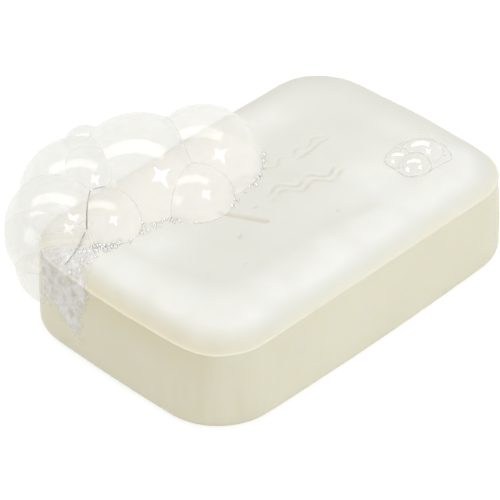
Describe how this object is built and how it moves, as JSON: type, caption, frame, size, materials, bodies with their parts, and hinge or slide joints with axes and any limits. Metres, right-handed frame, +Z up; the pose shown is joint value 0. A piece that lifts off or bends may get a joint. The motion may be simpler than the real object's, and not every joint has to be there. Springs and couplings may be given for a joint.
{
  "type": "bar of soap",
  "caption": "Pressed bath soap bar with upright sides, a raised parting line and a dished pillow top, wetted, with soap bubbles and fine lather on its back left corner.",
  "frame": {"origin": "middle of the flat base that the bar rests on", "axes": "+X along the bar's length towards the end with the small bubbles, +Y towards the long side with the lather, +Z up"},
  "size_m": [0.0998, 0.0749, 0.036],
  "materials": {
    "soap": "pressed toilet soap, cream, satin, slightly waxy and translucent at the edges",
    "soap_film": "clear wet soap film of large bubbles, soft and weightless",
    "foam": "fine wet foam, grey white, soft and weightless"
  },
  "bodies": {
    "root": {"soap_bar": "soap", "large_bubbles": "soap_film", "small_bubbles": "soap_film", "fine_foam": "foam"}
  },
  "joints": []
}
